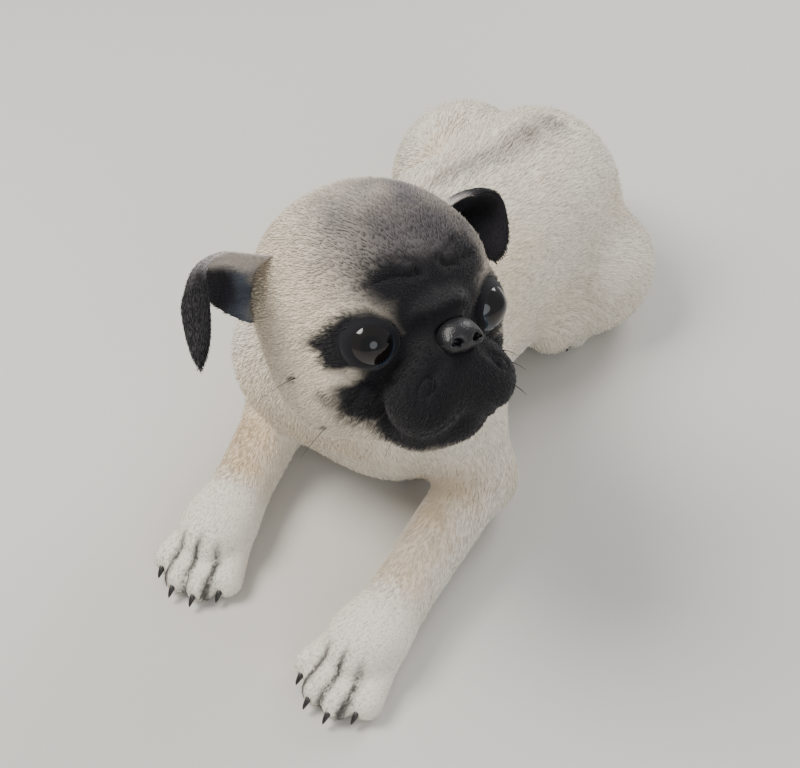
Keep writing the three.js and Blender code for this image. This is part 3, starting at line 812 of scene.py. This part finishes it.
def nearest(points, targets, chunk=4000):
    index, distance = np.empty(len(points), int), np.empty(len(points))
    for n in range(0, len(points), chunk):
        gaps = ((points[n:n + chunk, None] - targets[None]) ** 2).sum(axis=2)
        index[n:n + chunk] = gaps.argmin(axis=1)
        distance[n:n + chunk] = gaps.min(axis=1)
    return index, distance


ears = {side: make_ear(side) for side in SIDES}
print("ears:", [len(piece.data.vertices) for piece in ears.values()], "points each")

# %% [markdown]
# ## Eyes and nose
# The eyeball is a ball behind the lids, with a low cornea in front. Its iris is so
# dark that it hardly differs from the pupil. The nose is a bare pad with two
# nostrils, each with a slot to its side.

# %% Eyes
IRIS, PUPIL, WHITE, RIM = map(linear, ("#120d0b", "#030304", "#3a444f", "#101217"))
PUPIL_EDGE, IRIS_EDGE, RIM_EDGE = (3.2, 3.9), (6.4, 7.2), (7.3, 8.3)
EYE_CLEAR, CORNEA_RISE, CORNEA_REACH = 0.05, 0.75, 7.2


def make_eye(side):
    out = SIDES[side]
    work = bmesh.new()
    bmesh.ops.create_uvsphere(work, u_segments=64, v_segments=40, radius=(EYE_RADIUS - EYE_CLEAR) * MM)
    quarter = Matrix.Rotation(math.radians(90), 3, "X")
    bmesh.ops.rotate(work, verts=work.verts, cent=(0, 0, 0), matrix=quarter)
    mesh = bpy.data.meshes.new(f"eyeball_{side}")
    work.to_mesh(mesh)
    work.free()
    piece = place_object(mesh.name, mesh)
    ball = points_of(piece)
    spread = np.hypot(ball[:, 0], ball[:, 2])
    front = ball[:, 1] < 0
    ball[:, 1] -= np.where(front, CORNEA_RISE * near(spread, CORNEA_REACH), 0)
    away = np.where(front, spread, 20)
    colours = mix(each(PUPIL, ball), IRIS, fade(away, *PUPIL_EDGE) * 0.9)
    colours = mix(colours, RIM, fade(away, *IRIS_EDGE))
    colours = mix(colours, WHITE, fade(away, *RIM_EDGE))
    place = ball @ turn_about("Z", EYE_OUTWARD * out).T + mirrored(np.array(EYE_CENTRE), out)
    move_points(piece, from_head(place))
    store_colours(piece, colours, "iris")
    smooth(piece)
    mesh.materials.append(EYE)
    return piece


eyes = {side: make_eye(side) for side in SIDES}
print("eyes:", [piece.name for piece in eyes.values()])

# %% Nose


def nose_field(local):
    pad = ellipsoid(local, NOSE_CENTRE, np.array(NOSE_RADII) - 0.15)
    for half in halves(local):
        pad = blend(pad, ellipsoid(half, (4.6, -45.6, -3.4), (3.1, 3.3, 3.1)), 1.5)
        hole = (half - [3.5, -49.4, -2.8]) @ turn_about("Y", -28)
        pad = carve(pad, ellipsoid(hole, (0, 0, 0), (1.75, 3.4, 1.25)), 0.8)
        slot = limb(half, (5.0, -49.0, -3.2), (7.6, -44.5, -3.4), 0.55, 0.3)
        pad = carve(pad, slot, 0.7)
    return carve(pad, limb(local, (0, -50.6, -3), (0, -49.4, -8.5), 0.55, 0.5), 0.9)


def make_nose():
    low, high = (-10, -53, -11), (10, -36, 6)
    points, quads = surface_net(nose_field, low, high, 0.38)
    points = settle(points, nose_field, pulls=2, reach=0.2)
    piece = mesh_object("nose_leather", from_head(points), quads)
    smooth(piece)
    piece.data.materials.append(NOSE)
    return piece


nose = make_nose()
print("nose faces:", len(nose.data.polygons))

# %% [markdown]
# ## Claws and whiskers
# Both are the same thing made many times: a rod that tapers along a path. A
# Geometry Nodes tree sweeps a round section along a mesh of bare edges, with a
# radius on each point, and its result is kept as a plain mesh. Copies of a single
# rod would do for straight bristles, but here every path bends its own way.

# %% Sweep tree


def sweep_tree(name, material, sides):
    tree = bpy.data.node_groups.new(name, "GeometryNodeTree")
    for socket, way, kind in (("Paths", "INPUT", "Geometry"), ("Thickness", "INPUT", "Float"),
                              ("Rods", "OUTPUT", "Geometry")):
        tree.interface.new_socket(socket, in_out=way, socket_type="NodeSocket" + kind)
    start, end = tree.nodes.new("NodeGroupInput"), tree.nodes.new("NodeGroupOutput")
    width = add_node(tree, "GeometryNodeInputNamedAttribute", data_type="FLOAT", Name="thickness")
    scaled = add_node(tree, "ShaderNodeMath", {0: width.outputs["Attribute"], 1: start.outputs["Thickness"]},
                      operation="MULTIPLY")
    curve = add_node(tree, "GeometryNodeMeshToCurve", {"Mesh": start.outputs["Paths"]})
    section = add_node(tree, "GeometryNodeCurvePrimitiveCircle", Resolution=sides, Radius=1.0)
    swept = add_node(tree, "GeometryNodeCurveToMesh",
                     {"Curve": curve.outputs["Curve"], "Profile Curve": section.outputs["Curve"],
                      "Scale": scaled.outputs["Value"]}, Fill_Caps=True)
    whole = add_node(tree, "GeometryNodeRealizeInstances", {"Geometry": swept.outputs["Mesh"]})
    finish = add_node(tree, "GeometryNodeSetMaterial", {"Geometry": whole.outputs["Geometry"]},
                      Material=material)
    tree.links.new(finish.outputs["Geometry"], end.inputs["Rods"])
    return tree


def sweep(name, paths, radii, material, sides=8):
    points, edges = np.concatenate(paths), []
    at = 0
    for path in paths:
        edges += [(at + n, at + n + 1) for n in range(len(path) - 1)]
        at += len(path)
    mesh = bpy.data.meshes.new(name + "_paths")
    mesh.from_pydata((points * MM).tolist(), edges, [])
    layer = mesh.attributes.new("thickness", "FLOAT", "POINT")
    layer.data.foreach_set("value", np.concatenate(radii).astype(np.float32))
    source = place_object(name + "_paths", mesh)
    tree = sweep_tree(name + "_sweep", material, sides)
    modifier = source.modifiers.new("sweep", "NODES")
    modifier.node_group = tree
    thickness = next(item for item in tree.interface.items_tree if item.name == "Thickness")
    modifier[thickness.identifier] = MM
    graph = bpy.context.evaluated_depsgraph_get()
    made = bpy.data.meshes.new_from_object(source.evaluated_get(graph))
    made.name = name
    bpy.data.objects.remove(source)
    piece = place_object(name, made)
    smooth(piece)
    return piece


# %% Claws
CLAW_LENGTH, CLAW_RADIUS, CLAW_POINTS = 4.8, 1.3, 9


def claw_path(paw, n):
    tip_joint = np.array(toe_line(paw, n)[1])
    root = tip_joint + [0, -5.2 * paw["size"], 0.6]
    s = np.linspace(0, 1, CLAW_POINTS)[:, None]
    bend = root + s * [0, -CLAW_LENGTH, 0] + s ** 2 * [0, 0, -2.9]
    bend[:, 2] = np.maximum(bend[:, 2], 1.2)
    return from_paw(bend, paw)


def claw_radii():
    s = np.linspace(0, 1, CLAW_POINTS)
    return CLAW_RADIUS * np.sqrt(np.clip(1 - s ** 1.6, 0.015, 1))


claw_paths = [claw_path(paw, n) for paw in PAWS for n in range(4)]
claws = sweep("claws", claw_paths, [claw_radii()] * len(claw_paths), CLAW, sides=12)
print("claws:", len(claw_paths), "of", len(claws.data.polygons), "faces")

# %% Whiskers
WHISKER_LENGTHS = {1: (5, 7), -1: (9, 13)}
WHISKER_RADIUS, WHISKER_POINTS = 0.16, 10


def whisker_paths():
    # The left whiskers, of side 1, reach out past the rest of the body, so they are short.
    dice = np.random.default_rng(17)
    roots = [(13, -46, -14), (17, -43, -17), (20, -40, -13), (23, -36, -18), (16, -44, -22), (22, -36, -25),
             (43, -6, -10), (35, -7, -30), (14, -33, 22)]
    paths = []
    for side in (1, -1):
        for root in roots:
            root = mirrored(vec(root), side)
            out = unit(root - [0, -18, -6])
            root = head_surface(root, out)
            length = dice.uniform(*WHISKER_LENGTHS[side])
            lean = out + [0.25 * side, 0.25, -0.15] + dice.normal(size=3) * 0.12
            s = np.linspace(-0.06, 1, WHISKER_POINTS)[:, None]
            droop = np.array([0.1 * side, 0.2, -0.32]) * length
            paths.append(from_head(root + unit(lean) * s * length + s ** 2 * droop))
    return paths


def head_surface(root, out):
    for _ in range(12):
        gap = skin_field(from_head(root[None]))[0]
        root = root - out * np.clip(gap, -2, 2)
    return root


whisker_radii = WHISKER_RADIUS * (1 - np.linspace(0, 1, WHISKER_POINTS) * 0.75)
paths = whisker_paths()
whiskers = sweep("whiskers", paths, [whisker_radii] * len(paths), HAIR, sides=5)
store_colours(whiskers, each(WHISKER, whiskers.data.vertices))
print("whiskers:", len(paths))

# %% [markdown]
# ## The coat
# A pug's hair is short and lies close, from the nose backwards. Strands would
# render well, but this model keeps its coat as plain mesh, so each tuft is a small
# bent blade of ten triangles, rooted in the skin. The blades are shorter and finer
# on the face and the paws. The OFBake map gives each a small patch at its root's
# place, on an unwrap of the skin from six sides.

# %% Where the hair points
HAIR_KINDS = {
    "body": dict(density=0.42, length=4.4, width=0.62, lift=20),
    "neck": dict(density=0.55, length=4.6, width=0.6, lift=22),
    "crown": dict(density=1.1, length=3.2, width=0.5, lift=22),
    "face": dict(density=1.5, length=1.9, width=0.34, lift=20),
    "leg": dict(density=0.75, length=3.0, width=0.5, lift=18),
    "paw": dict(density=1.1, length=2.0, width=0.4, lift=16),
    "ear": dict(density=1.9, length=2.1, width=0.36, lift=15),
}
HAIR_SIZES = ("length", "width", "lift")


def toward(points, start, end, bias=(0, 0, 0)):
    flow = each(unit(vec(end) - vec(start)), points)
    return unit(flow + vec(bias))


def part_fields(points):
    fields = {"trunk": trunk_field(points), "neck": neck_field(points), "head": head_field(points),
              "tail": tail_field(points)}
    for side in SIDES:
        fields[f"foreleg_{side}"] = foreleg_field(points, side)
        fields[f"hindleg_{side}"] = hindleg_field(points, side)
    for paw in PAWS:
        fields[f"paw_{paw['name']}"] = paw_field(points, paw)
    return fields


def tail_flow(points):
    path = vec(TAIL_PATH)
    steps = unit(np.diff(path, axis=0))
    middles = (path[1:] + path[:-1]) / 2
    near_step = ((points[:, None] - middles[None]) ** 2).sum(axis=2).argmin(axis=1)
    return steps[near_step]


def head_flow(points):
    local = to_head(points)
    flow = unit(local - [0, -50, -2])
    flow[:, 2] += np.where(local[:, 1] < -20, 0, -0.25)
    return unit(flow) @ HEAD_TURN.T


def flow_of(points, fields):
    flows = {
        "trunk": toward(points, (0, 0, 0), (0, 1, -0.3)),
        "neck": toward(points, (2, -28, 106), (-7, 30, 50)),
        "head": head_flow(points),
        "tail": tail_flow(points),
    }
    for side in SIDES:
        leg = FORELEGS[side]
        upper = toward(points, leg["shoulder"], leg["elbow"], (0, 0, -0.2))
        lower = toward(points, leg["elbow"], leg["wrist"], (0, 0, -0.3))
        low = 1 - fade(points[:, 2], 18, 44)[:, None]
        flows[f"foreleg_{side}"] = unit(upper * (1 - low) + lower * low)
        flows[f"hindleg_{side}"] = toward(points, (0, 0, 0), (0, 0.55, -0.65))
    for paw in PAWS:
        ahead = from_paw(np.array([[0, -1, -0.15]]), dict(paw, at=(0, 0, 0)))[0]
        flows[f"paw_{paw['name']}"] = each(ahead, points)
    pulls = {name: np.exp(-np.maximum(fields[name], 0) / 5)[:, None] for name in flows}
    return unit(sum(flow * pulls[name] for name, flow in flows.items()))


# %% Scatter the roots


def triangles_of(piece):
    piece.data.calc_loop_triangles()
    corners = np.empty(len(piece.data.loop_triangles) * 3, int)
    piece.data.loop_triangles.foreach_get("vertices", corners)
    return corners.reshape(-1, 3)


def scatter(piece, density_of, seed):
    dice = np.random.default_rng(seed)
    points, corners = points_of(piece), triangles_of(piece)
    a, b, c = (points[corners[:, n]] for n in range(3))
    cross = np.cross(b - a, c - a)
    area = np.linalg.norm(cross, axis=1) / 2
    wanted = density_of((a + b + c) / 3) * area
    count = np.floor(wanted).astype(int) + (dice.uniform(size=len(area)) < wanted % 1)
    which = np.repeat(np.arange(len(area)), count)
    u, v = dice.uniform(size=(2, len(which)))
    flip = u + v > 1
    u, v = np.where(flip, 1 - u, u), np.where(flip, 1 - v, v)
    roots = a[which] + u[:, None] * (b - a)[which] + v[:, None] * (c - a)[which]
    return roots, unit(cross)[which]


def hair_shares(points, fields):
    paws = np.max([near(fields[f"paw_{paw['name']}"], 5) for paw in PAWS], axis=0)
    legs = np.max([near(fields[f"foreleg_{side}"], 6) for side in SIDES], axis=0)
    face = np.clip(face_share(points) * 1.2, 0, 1)
    ranked = {"face": face, "paw": paws, "crown": near(fields["head"], 9), "leg": legs,
              "neck": near(fields["neck"], 9)}
    shares, left = {}, np.ones(len(points))
    for kind, share in ranked.items():
        shares[kind] = left * share
        left = left * (1 - share)
    shares["body"] = left
    return shares


def hair_value(shares, key):
    return sum(share * HAIR_KINDS[kind][key] for kind, share in shares.items())


def is_bare(points):
    local = to_head(points)
    bare = ellipsoid(local, NOSE_CENTRE, NOSE_RADII) < 1.0
    for half in halves(local):
        bare |= lid_ring(half) < 0.9
        bare |= np.linalg.norm(to_eye(half), axis=1) < EYE_RADIUS + 0.7
        bare |= furrow(half, MOUTH, 0.6) < 0.4
    return bare | (points[:, 2] < 1.0)


# %% Build the tufts
CHART_GRID = ((0, 0), (1, 0), (2, 0), (0, 1), (1, 1), (2, 1))
PATCH = 0.003


def box_unwrap(roots, normals):
    axis = np.abs(normals).argmax(axis=1)
    chart = axis * 2 + (normals[np.arange(len(normals)), axis] < 0)
    low, size = roots.min(axis=0), np.maximum(np.ptp(roots, axis=0).max(), 1e-6)
    place = (roots - low) / size
    u = np.choose(axis, [place[:, 1], place[:, 0], place[:, 0]])
    v = np.choose(axis, [place[:, 2], place[:, 2], place[:, 1]])
    grid = np.array(CHART_GRID)[chart]
    return np.stack([(grid[:, 0] + 0.02 + 0.95 * u) / 3, (grid[:, 1] + 0.02 + 0.95 * v) / 2], axis=1)


TUFT_FACES = np.array([(0, 2, 1), (0, 1, 3), (1, 4, 3), (1, 2, 4), (2, 5, 4), (2, 0, 5), (0, 3, 5),
                       (3, 4, 6), (4, 5, 6), (5, 3, 6)])
TUFT_PATCH = np.array([(0, 0), (1, 0), (0.5, 0.7), (0.15, 0.3), (0.85, 0.3), (0.5, 0.85), (0.5, 1.0)])
# Painted shade and light on each tuft: the root ring is darkened to 0.88, the middle ring to 0.98, and the
# tip is lightened to 1.03.
TUFT_PAINTED_SHADE = np.array([0.88] * 3 + [0.98] * 3 + [1.03])[:, None]
TUFT_POINTS = len(TUFT_PATCH)


def tuft_points(roots, normals, flow, dice, length, width, lift):
    count = len(roots)
    along = unit(flow - normals * (flow * normals).sum(axis=1, keepdims=True) + 1e-6)
    across = np.cross(normals, along)
    turn = dice.normal(size=count)[:, None] * 0.16
    along = unit(along + across * turn)
    across = np.cross(normals, along)
    length = (length * dice.uniform(0.75, 1.25, count))[:, None]
    rise = np.radians(lift * dice.uniform(0.7, 1.3, count))[:, None]
    half = (width / 2)[:, None]
    root = roots - normals * 0.25
    rings = []
    lean = along * np.cos(rise) + normals * np.sin(rise)
    for s, thin in ((0.0, 1.0), (0.5, 0.85)):
        centre = root + lean * length * s
        rings += [centre - across * half * thin, centre + across * half * thin,
                  centre + np.cross(across, lean) * -half * 0.55 * thin]
    end = along * np.cos(rise * 0.45) + normals * np.sin(rise * 0.45)
    tip = rings[3] / 2 + rings[4] / 2 + end * length * 0.5
    return np.stack(rings + [tip], axis=1)


def make_tufts(name, roots, normals, flow, values, colours, seed):
    dice = np.random.default_rng(seed)
    count = len(roots)
    points = press_on_floor(tuft_points(roots, normals, flow, dice, **values))
    faces = (np.arange(count)[:, None, None] * TUFT_POINTS + TUFT_FACES[None]).reshape(-1, 3)
    mesh = bpy.data.meshes.new(name)
    mesh.vertices.add(count * TUFT_POINTS)
    mesh.vertices.foreach_set("co", (points * MM).ravel())
    mesh.loops.add(len(faces) * 3)
    mesh.polygons.add(len(faces))
    mesh.loops.foreach_set("vertex_index", faces.ravel().astype(np.int32))
    mesh.polygons.foreach_set("loop_start", np.arange(0, len(faces) * 3, 3, dtype=np.int32))
    mesh.update(calc_edges=True)
    patch = box_unwrap(roots, normals)[:, None] + (TUFT_PATCH[None] - 0.5) * PATCH
    layer = mesh.uv_layers.new(name="OFBake")
    layer.data.foreach_set("uv", patch.reshape(-1, 2)[faces.ravel()].astype(np.float32).ravel())
    piece = place_object(name, mesh)
    mesh.materials.append(HAIR)
    smooth(piece)
    tint = dice.uniform(0.86, 1.1, count)[:, None]
    # Painted shade toward each tuft's root and painted light at its tip.
    shade = np.clip(colours * tint, 0, 1)[:, None] * TUFT_PAINTED_SHADE
    store_colours(piece, np.clip(shade.reshape(-1, 3), 0, 1))
    return piece


# %% Grow the coat on the body
TUFTS_PER_PIECE = 18000


def grow_body_coat():
    def density(points):
        fields = part_fields(points)
        return hair_value(hair_shares(points, fields), "density")

    roots, normals = scatter(skin, density, seed=4)
    keep = ~is_bare(roots)
    roots, normals = roots[keep], normals[keep]
    fields = part_fields(roots)
    shares = hair_shares(roots, fields)
    values = {key: hair_value(shares, key) for key in HAIR_SIZES}
    flow, colours = flow_of(roots, fields), markings_and_toe_shade(roots)
    names = list(fields)
    owner = np.argmin([fields[name] for name in names], axis=0)
    pieces = []
    for n, name in enumerate(names):
        mine = np.where(owner == n)[0]
        for part, start in enumerate(range(0, len(mine), TUFTS_PER_PIECE)):
            pick = mine[start:start + TUFTS_PER_PIECE]
            own = {key: value[pick] for key, value in values.items()}
            label = f"coat_{name}" + (f"_{part + 1}" if len(mine) > TUFTS_PER_PIECE else "")
            pieces.append(make_tufts(label, roots[pick], normals[pick], flow[pick], own, colours[pick],
                                     seed=100 + len(pieces)))
    return pieces


coat = grow_body_coat()
print("coat pieces:", len(coat), "tufts:", sum(len(piece.data.vertices) for piece in coat) // TUFT_POINTS)

# %% Grow the coat on the ears


def ear_flow(side, points):
    t = np.linspace(0, 1, EAR_ROWS)
    centre = smooth_path(EARS[side]["path"], t)
    steps = unit(np.gradient(centre, axis=0))
    local = mirrored(to_head(points), SIDES[side])
    index, _ = nearest(local, centre)
    return mirrored(steps[index], SIDES[side]) @ HEAD_TURN.T


def grow_ear_coat(side):
    hair = HAIR_KINDS["ear"]
    roots, normals = scatter(ears[side], lambda points: np.full(len(points), hair["density"]), seed=40)
    values = {key: np.full(len(roots), hair[key]) for key in HAIR_SIZES}
    colours = ear_colours(side, roots) * 1.05
    return make_tufts(f"coat_ear_{side}", roots, normals, ear_flow(side, roots), values, colours, seed=60)


ear_coats = {side: grow_ear_coat(side) for side in SIDES}
print("ear tufts:", [len(piece.data.vertices) // TUFT_POINTS for piece in ear_coats.values()])

# %% [markdown]
# ## Joining the frame
# Every piece rides on the root, because this is a still model. The skin takes
# the place of all the flesh, and the eyes, the nose and the ears each take the
# place of their own node.

# %% Ride and replace
flesh = [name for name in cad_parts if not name.startswith(("eye", "ear", "nose"))]
for piece in [skin, nose, claws, whiskers, *coat, *eyes.values(), *ears.values(), *ear_coats.values()]:
    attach(piece, "root")
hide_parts(*flesh)
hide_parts("nose")
for side in SIDES:
    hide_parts(f"eye_{side}")
    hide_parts(f"ear_{side}")

# %% [markdown]
# ## Floor, light and camera
# A plain pale floor in a pale room, and three soft lamps: a warm one from the
# upper left of the picture, a weak cool one from its right and one from behind
# the puppy. The camera stands above the puppy and to its left.

# %% Floor and light


def add_floor():
    points = [(-900, -900, 0), (900, -900, 0), (900, 900, 0), (-900, 900, 0)]
    floor = mesh_object("floor", points, [(0, 1, 2, 3)])
    floor.data.materials.append(new_material("matte_studio_floor", Roughness=0.85,
                                             Base_Color=(*linear("#cfccc6"), 1)))


def add_light(name, at, target, size, power, colour=(1, 1, 1)):
    lamp = bpy.data.lights.new(name, "AREA")
    lamp.shape, lamp.size, lamp.energy, lamp.color = "DISK", size * MM, power, colour
    holder = place_object(name, lamp)
    holder.location = Vector(at) * MM
    aim = (Vector(target) - Vector(at)).normalized()
    holder.rotation_euler = aim.to_track_quat("-Z", "Y").to_euler()


add_floor()
add_light("key_light", (-500, -250, 900), (0, 20, 60), 520, 12.5, (1, 0.965, 0.91))
add_light("fill_light", (700, -500, 500), (0, 0, 60), 700, 3.2, (0.94, 0.97, 1))
add_light("rim_light", (150, 800, 600), (0, 60, 60), 450, 5.0)
world = bpy.context.scene.world or bpy.data.worlds.new("pale_room")
bpy.context.scene.world = world
world.use_nodes = True
background = world.node_tree.nodes["Background"].inputs
background["Color"].default_value = (0.86, 0.87, 0.9, 1)
background["Strength"].default_value = 0.55
print("lights:", [item.name for item in bpy.data.lights])

# %% Camera
CAMERA_AT, LENS, SENSOR = (189.5, -324.4, 446.4), 58.5, 36


def add_camera():
    lens = bpy.data.cameras.new("camera")
    lens.lens, lens.sensor_width = LENS, SENSOR
    lens.clip_start, lens.clip_end = 0.01, 10
    lens.dof.use_dof = False
    holder = place_object("camera", lens)
    holder.location = Vector(CAMERA_AT) * MM
    right = Vector((0.866, 0.5, 0)).normalized()
    back = Vector((0.341, -0.591, 0.731)).normalized()
    up = back.cross(right)
    holder.rotation_euler = Matrix((right, up, back)).transposed().to_euler()
    bpy.context.scene.camera = holder
    return holder


camera = add_camera()
print("camera:", camera.name)
